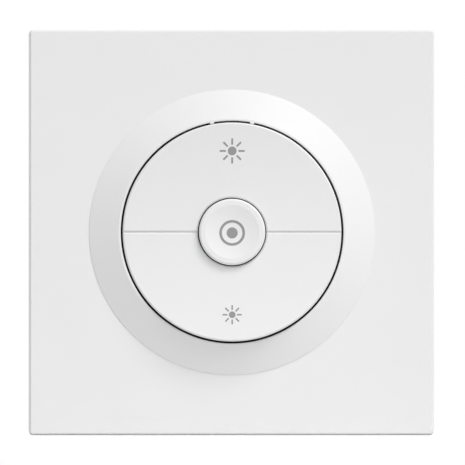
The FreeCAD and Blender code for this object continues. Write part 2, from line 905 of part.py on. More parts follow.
def key_carrier():
    body = new_body("key_carrier")
    pad(body, carrier_back, carrier_front, [Disc(0, 0, s.carrier_radius), Disc(0, 0, guide_bore)])
    ear = pad(body, carrier_front, ear_front,
              [rectangle(s.ear_inner, s.ear_inner + s.ear_thick,
                         -(s.hinge_height + s.ear_reach), s.hinge_height + s.ear_reach)])
    holes = side_cut(body, s.ear_inner, s.ear_inner + s.ear_thick,
                     [Disc(-hinge_depth, side * s.hinge_height, s.pin_radius + s.pin_clearance)
                      for side in (-1, 1)])
    mirrored(body, [ear, holes])
    pad(body, carrier_front, carrier_front + s.guide_height,
        [Disc(0, 0, guide_tube), Disc(0, 0, guide_bore)])
    windows = []
    for side in (-1, 1):
        windows.append(centred(as_size(0), side * switch_height, s.switch_window, s.switch_window))
    hook_middle = (s.hook_inner + hook_tip) / 2
    hook_tall = hook_tip - s.hook_inner + 2 * s.hook_clearance
    for x, z in quarters(s.hook_offset, hook_middle):
        windows.append(centred(x, z, s.hook_width + 2 * s.hook_clearance, hook_tall))
    windows.append(centred(as_size(0), lamp_height, s.lamp_wide + 2 * s.guide_clearance,
                           s.guide_stub + 2 * s.guide_clearance))
    cut(body, carrier_back, carrier_front, windows)
    cut(body, carrier_back, carrier_front,
        [Disc(x, z, s.carrier_screw_radius + s.screw_clearance)
         for x, z in quarters(boss_offset, boss_offset)])
    shaft = s.carrier_screw_radius.value + s.screw_clearance.value
    offset = boss_offset.value
    dress(body, "Chamfer", "Size", s.carrier_screw_head - s.carrier_screw_radius,
          lambda p: near(p.y, -carrier_front.value)
          and near(math.hypot(abs(p.x) - offset, abs(p.z) - offset), shaft))
    return finished(body, "key_carrier")


def screw(x, z, radius, tip, head_back, head_front, head_radius, countersunk):
    """One slotted screw that points to the wall."""
    shank = peg(x, z, radius, tip, head_front)
    if countersunk:
        head = document.addObject("Part::Cone", "Head")
        bind(head, "Radius1", radius)
        bind(head, "Radius2", head_radius)
        bind(head, "Height", head_front - head_back)
        head.Placement.Rotation = FreeCAD.Rotation(FreeCAD.Vector(1, 0, 0), 90)
        place(head, x, head_back, z)
    else:
        head = peg(x, z, head_radius, head_back, head_front)
    slot = block_at(x, z, s.drive_width, 2 * head_radius + 1, head_front - s.drive_deep, head_front + 1)
    return less(fused([shank, head]), slot)


def carrier_screws():
    front = carrier_front - s.screw_clearance
    back = front - (s.carrier_screw_head - s.carrier_screw_radius)
    screws = [
        screw(x, z, s.carrier_screw_radius, front - s.carrier_screw_length, back, front,
              s.carrier_screw_head, True)
        for x, z in quarters(boss_offset, boss_offset)
    ]
    return finished(group(screws), "carrier_screws")


def frame_screws():
    back = carrier_back
    screws = [
        screw(x, z, s.frame_screw_radius, back - s.frame_screw_length, back,
              back + s.frame_screw_head_tall, s.frame_screw_head, False)
        for x, z in quarters(frame_screw_offset, frame_screw_offset)
    ]
    return finished(group(screws), "frame_screws")


def status_light_guide():
    body = new_body("status_light_guide")
    stub_low = lamp_height - s.guide_stub / 2
    stub_high = lamp_height + s.guide_stub / 2
    foot_front = guide_back + s.guide_foot
    pad(body, guide_back, foot_front,
        [[(-s.lamp_wide / 2, stub_low), (s.lamp_wide / 2, stub_low), (s.guide_half, guide_inner),
          (s.guide_half, guide_outer), (-s.guide_half, guide_outer), (-s.guide_half, guide_inner)]])
    pad(body, lamp_front + s.guide_gap, guide_back,
        [rectangle(-s.lamp_wide / 2, s.lamp_wide / 2, stub_low, stub_high)])
    pad(body, foot_front, guide_front, [rectangle(-s.guide_half, s.guide_half, guide_inner, guide_outer)])
    return finished(body, "status_light_guide")


def support_frame():
    body = new_body("support_frame")
    opening = s.cup_half + s.frame_gap
    pad(body, as_size(0), s.frame_thick,
        [round_square(frame_side / 2, s.frame_corner),
         cut_square(opening, cup_diagonal + s.frame_gap * ROOT_TWO)])
    cut(body, as_size(0), s.frame_thick,
        [Disc(x, z, s.frame_screw_radius + s.screw_clearance)
         for x, z in quarters(frame_screw_offset, frame_screw_offset)])
    slot = cut(body, as_size(0), s.frame_thick,
               [round_slot(s.slot_radius, as_size(0), s.slot_length, s.slot_width)])
    around(body, [slot], 4)
    tongue = pad(body, s.frame_thick, plate_inside - s.tongue_gap,
                 [rectangle(tongue_left, frame_side / 2, s.clip_offset - s.tongue_width / 2,
                            s.clip_offset + s.tongue_width / 2)])
    window_back = barb_back - s.clip_clearance
    window_front = barb_back + s.clip_barb_height + s.clip_clearance
    window = side_cut(body, tongue_left - 1, frame_side / 2 + 1,
                      [rectangle(-window_front, -window_back, clip_low - s.clip_clearance,
                                 clip_high + s.clip_clearance)])
    around(body, [tongue, window], 4)
    return finished(body, "support_frame")


def housing_shell():
    body = new_body("housing_shell")
    pad(body, cup_back, flange_back, [cut_square(s.cup_half, cup_diagonal)])
    pad(body, flange_back, carrier_back, [cut_square(flange_half, flange_diagonal)])
    cut(body, cup_floor, carrier_back, [cut_square(cup_inner, cup_inner_diagonal)])
    boss_back = flange_back - s.boss_length
    corners = quarters(boss_offset, boss_offset)
    pad(body, boss_back, carrier_back, [Disc(x, z, s.boss_radius) for x, z in corners])
    cut(body, boss_back, carrier_back,
        [Disc(x, z, s.carrier_screw_radius + s.screw_clearance) for x, z in corners])
    cut(body, flange_back, carrier_back,
        [Disc(x, z, s.frame_screw_radius + s.screw_clearance)
         for x, z in quarters(frame_screw_offset, frame_screw_offset)])
    cut(body, cup_back, cup_floor,
        [centred(x, terminal_height, s.wire_window, s.wire_window) for x in terminal_columns])
    level_cut(body, -s.cup_half, -cup_inner,
              [Disc(x, -terminal_depth, s.driver_radius) for x in terminal_columns])
    dress(body, "Chamfer", "Size", s.cup_edge,
          lambda p: near(p.y, -cup_back.value) and on_cut_square(p, s.cup_half, cup_diagonal))
    return finished(body, "housing_shell")


def board(name, back, front, diagonal):
    body = new_body(name)
    pad(body, back, front, [cut_square(board_half, diagonal)])
    dress(body, "Chamfer", "Size", s.board_edge, lambda p: on_cut_square(p, board_half, diagonal))
    return finished(body, name)


def switch(side, name):
    """A square switch on the control board, with a round bore for its plunger."""
    z = side * switch_height
    box = block_at(as_size(0), z, s.switch_side, s.switch_side, control_front, switch_front)
    bore = peg(as_size(0), z, s.plunger_radius + s.plunger_clearance,
               switch_front - s.plunger_root - s.plunger_room, switch_front + 1)
    return finished(less(box, bore), f"{name}_switch")


def plunger(side, name):
    z = side * switch_height
    stem = peg(as_size(0), z, s.plunger_radius, switch_front - s.plunger_root, plunger_front - s.plunger_tip)
    tip = peg(as_size(0), z, s.plunger_radius - s.plunger_tip, plunger_front - s.plunger_tip, plunger_front)
    return finished(fused([stem, tip]), f"{name}_plunger")


def status_led():
    chip = block_at(as_size(0), lamp_height, s.lamp_wide, s.lamp_tall, control_front, lamp_front)
    return finished(chip, "status_led")


def radio_module():
    front = control_front + s.radio_board
    x = s.radio_inset + s.radio_wide / 2 - board_half
    card = block_at(x, as_size(0), s.radio_wide, s.radio_tall, control_front, front)
    finished(card, "radio_module")
    can_z = -s.radio_aerial / 2
    wide = s.radio_wide - s.radio_margin
    tall = s.radio_tall - s.radio_margin - s.radio_aerial
    can_front = front + s.shield_height
    can = block_at(x, can_z, wide, tall, front, can_front)
    room = block_at(x, can_z, wide - 2 * s.shield_wall, tall - 2 * s.shield_wall,
                    front - 1, can_front - s.shield_wall)
    return finished(less(can, room), "radio_shield")


def microcontroller():
    front = control_front + s.chip_thick
    return finished(block_at(s.chip_x, s.chip_z, s.chip_side, s.chip_side, control_front, front),
                    "microcontroller")


def board_link():
    """The pin header under the control board and its socket on the power board."""
    rows = [s.header_pitch * share for share in (-2, -1, 0, 1, 2)]
    length = s.header_pitch * 5
    base_back = control_back - s.header_base
    base = block_at(s.header_offset, as_size(0), s.header_wide, length, base_back, control_back)
    pins = [
        peg(s.header_offset, z, s.header_pin, base_back - s.header_pin_length, base_back)
        for z in rows
    ]
    finished(fused([base] + pins), "pin_header")
    socket_front = base_back - s.socket_clearance
    shell = block_at(s.header_offset, as_size(0), s.header_wide, length, power_front, socket_front)
    holes = [
        peg(s.header_offset, z, s.header_pin + s.socket_clearance,
            socket_front - s.header_pin_length, socket_front + 1)
        for z in rows
    ]
    return finished(less(shell, fused(holes)), "pin_socket")


def board_spacer():
    """An insulating ring that keeps the boards apart, with a web that shields the mains side."""
    body = new_body("board_spacer")
    half = board_half - s.spacer_inset
    diagonal = control_diagonal - s.spacer_inset
    inner = half - s.spacer_wall
    inner_diagonal = diagonal - s.spacer_wall * ROOT_TWO
    pad(body, spacer_back, spacer_front, [cut_square(half, diagonal), cut_square(inner, inner_diagonal)])
    web_front = spacer_front - s.spacer_web_drop
    pad(body, web_front - s.spacer_web, web_front,
        [cut_square(half - s.spacer_wall / 2, diagonal - s.spacer_wall / 2 * ROOT_TWO)])
    cut(body, web_front - s.spacer_web, web_front,
        [centred(s.header_offset, as_size(0), s.header_wide + 2 * s.link_clearance,
                 s.header_pitch * 5 + 2 * s.link_clearance)])
    return finished(body, "board_spacer")


def transformer():
    """A two-window core, and the winding on its middle leg."""
    front = power_front + s.core_tall
    x, z = s.core_x, s.core_z
    leg = s.core_leg / 2
    window = s.core_window
    inner_back = power_front + s.core_yoke
    inner_front = front - s.core_yoke
    core = block_at(x, z, s.core_wide, s.core_thick, power_front, front)
    windows = [
        block(left, left + window, inner_back, inner_front, z - s.core_thick, z + s.core_thick)
        for left in (x + leg, x - leg - window)
    ]
    finished(less(core, fused(windows)), "transformer_core")
    gap = s.winding_gap
    coil = block_at(x, z, 2 * (leg + window - gap), s.core_thick + 2 * (window - gap),
                    inner_back + gap, inner_front - gap)
    hole = block_at(x, z, 2 * (leg + gap), s.core_thick + 2 * gap, inner_back, inner_front)
    return finished(less(coil, hole), "transformer_winding")


def bulk_capacitor():
    x, z = s.bulk_x, s.bulk_z
    front = power_front + s.bulk_tall
    can = peg(x, z, s.bulk_radius, power_front, front - s.bulk_crimp)
    top = peg(x, z, s.bulk_radius - s.bulk_crimp, front - s.bulk_crimp, front)
    return finished(fused([can, top]), "bulk_capacitor")


def film_capacitor():
    return finished(block_at(s.film_x, s.film_z, s.film_wide, s.film_thick, power_front,
                             power_front + s.film_tall), "film_capacitor")


def choke():
    """A drum core with its winding between the flanges."""
    x, z = s.choke_x, s.choke_z
    front = power_front + s.choke_tall
    flange = s.choke_flange
    drum = peg(x, z, s.choke_hub, power_front + flange, front - flange)
    ends = [peg(x, z, s.choke_radius, power_front, power_front + flange),
            peg(x, z, s.choke_radius, front - flange, front)]
    finished(fused([drum] + ends), "choke_core")
    gap = s.winding_gap
    coil = peg(x, z, s.choke_radius - gap, power_front + flange + gap, front - flange - gap)
    hub = peg(x, z, s.choke_hub + gap, power_front, front)
    return finished(less(coil, hub), "choke_winding")


def varistor():
    radius = s.varistor_radius
    return finished(upright(s.varistor_x, power_front + radius, radius, s.varistor_z,
                            s.varistor_z + s.varistor_thick), "varistor")


def fuse():
    """A glass fuse with its two caps, lying on the power board."""
    half = s.fuse_length / 2
    body = new_body("fuse")
    depth = power_front + s.fuse_radius
    side_pad(body, -half, half, [Disc(-depth, s.fuse_z, s.fuse_radius - s.fuse_cap)])
    side_pad(body, -half, -half + s.fuse_cap_length, [Disc(-depth, s.fuse_z, s.fuse_radius)])
    side_pad(body, half - s.fuse_cap_length, half, [Disc(-depth, s.fuse_z, s.fuse_radius)])
    return finished(body, "fuse")


def heat_spreader():
    back = cup_floor + s.seat_gap
    half = s.spreader_wide / 2
    low = cage_high + s.terminal_wall + s.spreader_gap
    high = cup_inner_diagonal - half - s.spreader_gap
    return finished(block(-half, half, back, back + s.spreader_thick, low, high), "heat_spreader")


def power_transistors():
    back = cup_floor + s.seat_gap + s.spreader_thick
    front = back + s.transistor_thick
    packages = []
    for side in (-1, 1):
        x = side * s.transistor_offset
        case = block_at(x, s.transistor_z, s.transistor_wide, s.transistor_tall, back, front)
        leads = [
            peg(x + share * s.header_pitch, s.transistor_z, s.lead_radius, front, power_back)
            for share in (-1, 0, 1)
        ]
        packages.append(fused([case] + leads))
    return finished(group(packages), "power_transistors")


def terminal_block():
    body = new_body("terminal_block")
    half = s.terminal_pitch * 1.5 + s.cage_wide / 2 + s.terminal_wall
    back = cup_floor + s.seat_gap
    high = cage_high + s.terminal_wall
    bevel = s.terminal_bevel
    outline = [
        (half - bevel, terminal_low), (half, terminal_low + bevel), (half, high),
        (-half, high), (-half, terminal_low + bevel), (bevel - half, terminal_low),
    ]
    pockets = [
        centred(x, terminal_height, s.cage_wide + 2 * s.cage_gap, s.cage_tall + 2 * s.cage_gap)
        for x in terminal_columns
    ]
    pad(body, back, cage_front, [outline] + pockets)
    level_cut(body, terminal_low, cage_low,
              [Disc(x, -terminal_depth, s.driver_radius) for x in terminal_columns])
    return finished(body, "terminal_block")


def terminal_cages():
    """Square tubes that the wires enter from behind, each with a threaded lower wall."""
    cages = []
    for x in terminal_columns:
        outer = block_at(x, terminal_height, s.cage_wide, s.cage_tall, cage_back, cage_front)
        room = block_at(x, terminal_height, s.cage_wide - 2 * s.cage_wall, s.cage_tall - 2 * s.cage_wall,
                        cage_back - 1, cage_front + 1)
        thread = upright(x, terminal_depth, s.clamp_radius + s.screw_clearance, cage_low - 1,
                         terminal_height)
        cages.append(less(outer, fused([room, thread])))
    return finished(group(cages), "terminal_cages")


def terminal_screws():
    head_high = cage_low - s.cage_gap
    head_low = head_high - s.clamp_head_tall
    screws = []
    for x in terminal_columns:
        shank = upright(x, terminal_depth, s.clamp_radius, head_high, cage_low + s.cage_wall + s.clamp_tip)
        head = upright(x, terminal_depth, s.clamp_head, head_low, head_high)
        slot = block(x - s.drive_width / 2, x + s.drive_width / 2, terminal_depth - s.clamp_head - 1,
                     terminal_depth + s.clamp_head + 1, head_low - 1, head_low + s.drive_deep)
        screws.append(less(fused([shank, head]), slot))
    return finished(group(screws), "terminal_screws")


cover_plate()
trim_collar()
lower_key(upper_key())
centre_button()
key_carrier()
carrier_screws()
frame_screws()
status_light_guide()
support_frame()
housing_shell()
board("control_board", control_back, control_front, control_diagonal)
for side, name in ((1, "upper"), (0, "centre"), (-1, "lower")):
    switch(side, name)
    plunger(side, name)
status_led()
radio_module()
microcontroller()
board_link()
board_spacer()
board("power_board", power_back, power_front, power_diagonal)
transformer()
bulk_capacitor()
film_capacitor()
choke()
varistor()
fuse()
heat_spreader()
power_transistors()
terminal_block()
terminal_cages()
terminal_screws()

document.recompute()
for thing in document.Objects:
    if {"Invalid", "Error"} & set(thing.State):
        raise RuntimeError(f"{thing.Name} failed: {thing.State}")
os.makedirs("parts", exist_ok=True)
for thing in parts:
    if thing.Shape.isNull() or not thing.Shape.isValid():
        raise RuntimeError(f"{thing.Label} has no valid shape")
    thing.Shape.exportStep(f"parts/{thing.Label}.step")
    box = thing.Shape.BoundBox
    print(thing.Label, len(thing.Shape.Solids), round(thing.Shape.Volume, 1), box)
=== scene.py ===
"""Looks of the smart dimmer module: finishes, printed marks, floor, light and camera."""

import math

import bmesh
import bpy
from bpy.props import FloatProperty, FloatVectorProperty, IntProperty, PointerProperty
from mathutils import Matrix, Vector
from mathutils.bvhtree import BVHTree


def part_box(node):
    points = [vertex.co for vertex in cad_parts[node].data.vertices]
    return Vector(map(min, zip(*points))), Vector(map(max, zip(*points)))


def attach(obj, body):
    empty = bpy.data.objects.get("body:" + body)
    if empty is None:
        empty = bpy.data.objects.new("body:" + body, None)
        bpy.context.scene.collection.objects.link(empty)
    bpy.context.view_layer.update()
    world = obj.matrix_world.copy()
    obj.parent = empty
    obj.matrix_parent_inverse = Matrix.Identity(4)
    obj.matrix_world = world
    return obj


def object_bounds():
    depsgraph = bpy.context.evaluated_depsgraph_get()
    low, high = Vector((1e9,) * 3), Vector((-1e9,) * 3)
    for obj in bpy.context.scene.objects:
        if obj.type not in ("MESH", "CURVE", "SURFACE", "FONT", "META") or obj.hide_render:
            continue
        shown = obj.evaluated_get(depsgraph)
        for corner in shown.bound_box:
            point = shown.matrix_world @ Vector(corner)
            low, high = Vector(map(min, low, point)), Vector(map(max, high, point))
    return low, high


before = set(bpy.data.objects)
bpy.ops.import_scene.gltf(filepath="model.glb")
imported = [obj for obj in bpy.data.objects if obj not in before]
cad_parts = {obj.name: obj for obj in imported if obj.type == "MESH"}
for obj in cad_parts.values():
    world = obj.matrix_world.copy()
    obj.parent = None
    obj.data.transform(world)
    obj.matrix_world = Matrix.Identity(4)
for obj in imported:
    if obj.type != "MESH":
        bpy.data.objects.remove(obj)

bl_info = {
    "name": "Smart Dimmer Module",
    "version": (1, 0, 0),
    "blender": (4, 5, 0),
    "location": "3D View > Sidebar > Dimmer",
    "description": "Finishes, printed marks, light and camera for a wall dimmer",
    "category": "Object",
}

LOADED_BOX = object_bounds()

# Sides of the round outlines in the print.
SUN_DISC_SIDES = 40
DOT_SIDES = 48
RING_SIDES = 96

# Widths of the patterns in the finishes, in metres.
PLASTIC_CLOUD = 0.02
ROLLING_LINE = 0.00012
METAL_PATCH = 0.006
ZINC_FLOWER = 0.0028
SCREW_PATCH = 0.0012
GLASS_WEAVE = 0.0006
GROUND_PATCH = 0.003
RESIN_HAZE = 0.0008
FUSE_SMEAR = 0.0009
PAPER_GRAIN = 0.004

# Scales of the other textures, which repeat more often the larger they are.
TURNING_SCALE = 2200.0
TRACK_SCALE = 330.0
PIT_SCALE = 5000.0

# A wave texture repeats after this distance when its scale is 1.
WAVE_PERIOD = 0.314

# Wire in the two windings, and how far the fuse's caps reach in, in metres.
TRANSFORMER_WIRE = 0.00028
CHOKE_WIRE = 0.00045
FUSE_CAP_LENGTH = 0.003

# A board is lacquered where its normal leans more than this along Y.
FACE_LEAN = 0.7

BEVEL_SAMPLES = 6
WHITE = (1.0, 1.0, 1.0, 1.0)
SMEARED_GLASS = (0.86, 0.89, 0.87, 1.0)
CLEAN_GLASS = (0.93, 0.95, 0.94, 1.0)
DARKER_PAPER = (0.72, 0.72, 0.72, 1.0)
LIGHTER_PAPER = (0.74, 0.74, 0.74, 1.0)

# The camera's sensor in millimetres, and the depths that it sees in metres.
SENSOR_WIDTH = 36.0
NEAREST_SEEN = 0.01
FARTHEST_SEEN = 10.0


def colour_property(name, description, default):
    return FloatVectorProperty(
        name=name, description=description, default=default,
        subtype="COLOR", size=3, min=0.0, max=1.0,
    )


def length_property(name, description, default):
    return FloatProperty(
        name=name, description=description, default=default,
        unit="LENGTH", precision=5, min=0.0,
    )


def angle_property(name, description, degrees):
    return FloatProperty(
        name=name, description=description, default=math.radians(degrees), subtype="ANGLE"
    )


def place_property(name, description, default):
    return FloatVectorProperty(
        name=name, description=description, default=default,
        subtype="XYZ", unit="LENGTH", size=3,
    )


class DimmerColours(bpy.types.PropertyGroup):
    cover: colour_property("Cover", "Plate, collar, keys and button", (0.80, 0.80, 0.80))
    print_ink: colour_property("Print", "Sun marks, ring and dot", (0.28, 0.28, 0.28))
    # The carrier is near-black so that the gaps round the keys and the button read dark: painted
    # shade.
    carrier: colour_property("Carrier", "Disc behind the keys", (0.045, 0.045, 0.047))
    cup: colour_property("Cup", "Insulated cup in the wall box", (0.13, 0.135, 0.14))
    terminal: colour_property("Terminal block", "Body of the terminals", (0.28, 0.29, 0.30))
    spacer: colour_property("Spacer", "Insulating frame between the boards", (0.72, 0.69, 0.57))
    moulded_black: colour_property(
        "Black plastic", "Plungers, header and socket", (0.035, 0.035, 0.037)
    )
    chip_resin: colour_property("Chip resin", "Chip and transistors", (0.03, 0.03, 0.032))
    guide: colour_property("Light guide", "Clear plastic of the guide", (0.95, 0.96, 0.97))
    lamp: colour_property("Lamp", "Resin of the status lamp", (0.92, 0.90, 0.76))
    mask: colour_property("Solder mask", "Lacquer over the boards", (0.015, 0.14, 0.055))
    laminate_edge: colour_property(
        "Board edge", "Cut edge of the glass laminate", (0.42, 0.36, 0.18)
    )
    zinc: colour_property("Zinc", "Plated frame", (0.60, 0.60, 0.59))
    bright_steel: colour_property(
        "Bright steel", "Steel screws, switch covers and fuse caps", (0.68, 0.68, 0.67)
    )
    # Near-black steel for the screws behind the keys, so that the ring gap reads dark: painted
    # shade.
    black_steel: colour_property("Black steel", "Screws behind the keys", (0.03, 0.03, 0.031))
    tin: colour_property("Tin", "Radio shield", (0.72, 0.72, 0.70))
    aluminium: colour_property("Aluminium", "Heat spreader", (0.76, 0.76, 0.77))
    brass: colour_property("Brass", "Terminal cages", (0.72, 0.56, 0.28))
    copper: colour_property("Wire enamel", "Transformer and choke wire", (0.52, 0.19, 0.06))
    ferrite: colour_property("Ferrite", "Transformer and choke cores", (0.07, 0.07, 0.075))
    sleeve: colour_property("Sleeve", "Shrunk sleeve of the bulk capacitor", (0.02, 0.03, 0.07))
    film_case: colour_property("Film case", "Cast box of the film capacitor", (0.60, 0.33, 0.04))
    varistor: colour_property("Varistor", "Dipped coating of the varistor", (0.03, 0.11, 0.36))


class DimmerPrint(bpy.types.PropertyGroup):
    bright_sun_disc: length_property("Bright disc", "Radius of the upper sun's disc", 0.00088)
    bright_sun_start: length_property(
        "Bright ray start", "Where the upper sun's rays begin", 0.00128
    )
    bright_sun_end: length_property("Bright ray end", "Where the upper sun's rays end", 0.00252)
    bright_sun_ray: length_property("Bright ray width", "Width of the upper sun's rays", 0.00037)
    bright_sun_height: length_property("Bright height", "Upper sun above the button", 0.01633)
    dim_sun_disc: length_property("Dim disc", "Radius of the lower sun's disc", 0.00067)
    dim_sun_start: length_property("Dim ray start", "Where the lower sun's rays begin", 0.00097)
    dim_sun_end: length_property("Dim ray end", "Where the lower sun's rays end", 0.00193)
    dim_sun_ray: length_property("Dim ray width", "Width of the lower sun's rays", 0.00030)
    dim_sun_drop: length_property("Dim drop", "Lower sun below the button", 0.01667)
    ray_count: IntProperty(name="Rays", description="Rays around each sun", default=8, min=3)
    ring_radius: length_property("Ring", "Middle radius of the button's ring", 0.00233)
    ring_line: length_property("Ring line", "Width of the ring's line", 0.00052)
    dot_radius: length_property("Dot", "Radius of the button's dot", 0.00112)
    button_drop: length_property("Button drop", "Ring's centre below the button's", 0.00018)
    ink_height: length_property("Ink", "How far the ink stands proud", 0.00002)
    ink_root: length_property("Ink root", "How far the ink goes into the face", 0.00003)


class DimmerStage(bpy.types.PropertyGroup):
    lens: FloatProperty(name="Lens", description="Focal length", default=922.0, unit="CAMERA")
    camera_distance: length_property("Camera distance", "Lens to the collar's front", 2.4)
    camera_turn: angle_property(
        "Camera turn", "Camera's turn to the right of straight ahead", -0.9
    )
    camera_lift: angle_property("Camera lift", "Camera's rise above level", -0.9)
    aim: place_property(
        "Aim", "The point in the middle of the picture", (0.00008, -0.012, -0.00009)
    )
    key_tilt: angle_property("Key tilt", "Key light away from the lens", 59.0)
    key_turn: angle_property(
        "Key turn", "Key light's turn from the right, towards the top", 62.0
    )
    key_strength: FloatProperty(
        name="Key strength", description="Power of the key light", default=1.94, min=0.0
    )
    key_softness: angle_property("Key softness", "Apparent width of the key light", 28.0)
    fill_power: FloatProperty(
        name="Fill power", description="Power of the low fill light",
        default=0.0097, unit="POWER", min=0.0,
    )
    fill_side: length_property("Fill side", "Side of the square fill light", 0.05)
    fill_place: place_property(
        "Fill place", "Where the fill light stands", (0.04, -0.14, -0.02)
    )
    sky_strength: FloatProperty(
        name="Sky", description="Even light from all round", default=0.524, min=0.0
    )
    floor_width: length_property("Floor", "Side of the square floor", 1.6)
    floor_glow: FloatProperty(
        name="Floor lift", description="What the lens sees added to the floor",
        default=0.7, min=0.0,
    )


def add_node(tree, kind, inputs=None, **options):
    """Add a node, set its options, and set its inputs or link them to other outputs."""
    node = tree.nodes.new(kind)
    for option, value in options.items():
        setattr(node, option, value)
    for name, value in (inputs or {}).items():
        if isinstance(value, bpy.types.NodeSocket):
            tree.links.new(value, node.inputs[name])
        else:
            node.inputs[name].default_value = value
    return node


def solid(colour, shade=1.0):
    """Give a colour, made darker or lighter, as the four numbers that a socket takes."""
    return tuple(min(1.0, channel * shade) for channel in colour[:3]) + (1.0,)


def spread(tree, factor, low, high):
    """Turn a 0 to 1 pattern into a number between low and high."""
    return add_node(
        tree, "ShaderNodeMapRange", {"Value": factor, "To Min": low, "To Max": high}
    ).outputs["Result"]


def blend_colours(tree, factor, first, second):
    """Mix two colours, or patterns of colour, by a 0 to 1 pattern."""
    mix = add_node(tree, "ShaderNodeMix", data_type="RGBA")
    tree.links.new(factor, mix.inputs["Factor"])
    for socket, value in ((mix.inputs[6], first), (mix.inputs[7], second)):
        if isinstance(value, bpy.types.NodeSocket):
            tree.links.new(value, socket)
        else:
            socket.default_value = value
    return mix.outputs[2]


def toned(tree, factor, colour, darkest, lightest):
    """Vary one colour between a darker and a lighter shade of it."""
    return blend_colours(tree, factor, solid(colour, darkest), solid(colour, lightest))


def calculate(tree, operation, first, second=None):
    """Work on one or two numbers or patterns with one Math node."""
    inputs = {0: first} if second is None else {0: first, 1: second}
    return add_node(tree, "ShaderNodeMath", inputs, operation=operation).outputs["Value"]


def noise(tree, place, size, detail=2.0):
    """A cloudy pattern whose patches are about as wide as size, in metres."""
    return add_node(
        tree, "ShaderNodeTexNoise", {"Vector": place, "Scale": 1.0 / size, "Detail": detail}
    ).outputs["Fac"]


def stretched(tree, place, along_x, along_y, along_z):
    """Object coordinates squeezed so that a pattern on them is drawn out."""
    return add_node(
        tree, "ShaderNodeMapping", {"Vector": place, "Scale": (along_x, along_y, along_z)}
    ).outputs["Vector"]


def bands(tree, place, scale, direction, distortion, detail):
    """Waves that follow each other along one direction."""
    return add_node(
        tree, "ShaderNodeTexWave",
        {"Vector": place, "Scale": scale, "Distortion": distortion, "Detail": detail},
        wave_type="BANDS", bands_direction=direction,
    ).outputs["Fac"]


def bump(tree, height, depth, normal=None):
    inputs = {"Height": height, "Distance": depth, "Strength": 1.0}
    if normal is not None:
        inputs["Normal"] = normal
    return add_node(tree, "ShaderNodeBump", inputs).outputs["Normal"]


def new_finish(name):
    """A new material, its tree, its Principled shader and its object coordinates."""
    material = bpy.data.materials.new(name)
    material.use_nodes = True
    tree = material.node_tree
    shader = tree.nodes["Principled BSDF"]
    place = add_node(tree, "ShaderNodeTexCoord").outputs["Object"]
    return material, tree, shader, place


def connect(tree, shader, **sockets):
    """Link patterns to the shader's base colour, roughness and normal."""
    names = {"colour": "Base Color", "roughness": "Roughness", "normal": "Normal"}
    for key, value in sockets.items():
        tree.links.new(value, shader.inputs[names[key]])


def moulded(name, colour, roughness, grain, grain_depth, edge=0.0):
    """Moulded plastic: eroded grain from the tool, slight clouding, soft edges."""
    material, tree, shader, place = new_finish(name)
    cloud = noise(tree, place, PLASTIC_CLOUD)
    texture = noise(tree, place, grain, detail=3.0)
    normal = None
    if edge:
        bevel = add_node(tree, "ShaderNodeBevel", {"Radius": edge}, samples=BEVEL_SAMPLES)
        normal = bevel.outputs["Normal"]
    connect(
        tree, shader,
        colour=toned(tree, cloud, colour, darkest=0.985, lightest=1.015),
        roughness=spread(tree, texture, roughness - 0.05, roughness + 0.05),
        normal=bump(tree, texture, grain_depth, normal),
    )
    return material


def rolled_metal(name, colour, roughness, scratch_depth, spangle=0.0):
    """Sheet metal: fine lines from rolling, and zinc flowers where spangle is their size."""
    material, tree, shader, place = new_finish(name)
    shader.inputs["Metallic"].default_value = 1.0
    lines = noise(tree, stretched(tree, place, 0.04, 1.0, 1.0), ROLLING_LINE, detail=4.0)
    if spangle:
        patches = add_node(
            tree, "ShaderNodeTexVoronoi",
            {"Vector": place, "Scale": 1.0 / spangle, "Randomness": 1.0},
        ).outputs["Color"]
    else:
        patches = noise(tree, place, METAL_PATCH, detail=3.0)
    connect(
        tree, shader,
        colour=toned(tree, patches, colour, darkest=0.90, lightest=1.08),
        roughness=spread(tree, lines, roughness - 0.08, roughness + 0.12),
        normal=bump(tree, lines, scratch_depth),
    )
    return material


def turned_metal(name, colour, roughness):
    """Screw metal: rings from turning around the screw's own line, with bright patches."""
    material, tree, shader, place = new_finish(name)
    shader.inputs["Metallic"].default_value = 1.0
    rings = bands(tree, place, TURNING_SCALE, "Y", distortion=1.5, detail=2.0)
    patches = noise(tree, place, SCREW_PATCH, detail=3.0)
    connect(
        tree, shader,
        colour=toned(tree, patches, colour, darkest=0.88, lightest=1.06),
        roughness=spread(tree, patches, roughness - 0.06, roughness + 0.10),
        normal=bump(tree, rings, 0.000004),
    )
    return material


def circuit_board(name, mask, edge):
    """Board laminate: lacquer over copper tracks on both faces, bare glass cloth at edges."""
    material, tree, shader, place = new_finish(name)
    tracks = add_node(
        tree, "ShaderNodeTexBrick",
        {
            "Vector": stretched(tree, place, 1.0, 0.0, 1.0),
            "Scale": TRACK_SCALE, "Mortar Size": 0.09,
            "Color1": WHITE, "Color2": solid(WHITE, 0.75), "Mortar": solid(WHITE, 0.0),
        },
    ).outputs["Color"]
    weave = noise(tree, stretched(tree, place, 1.0, 12.0, 1.0), GLASS_WEAVE)
    normals = add_node(tree, "ShaderNodeTexCoord").outputs["Normal"]
    facing = add_node(tree, "ShaderNodeSeparateXYZ", {"Vector": normals}).outputs["Y"]
    lean = calculate(tree, "ABSOLUTE", facing)
    lacquered = calculate(tree, "GREATER_THAN", lean, FACE_LEAN)
    sides = toned(tree, weave, edge, darkest=0.75, lightest=1.1)
    faces = toned(tree, tracks, mask, darkest=0.62, lightest=1.35)
    connect(
        tree, shader,
        colour=blend_colours(tree, lacquered, sides, faces),
        roughness=spread(tree, lacquered, 0.75, 0.28),
        normal=bump(tree, tracks, 0.00002),
    )
    return material


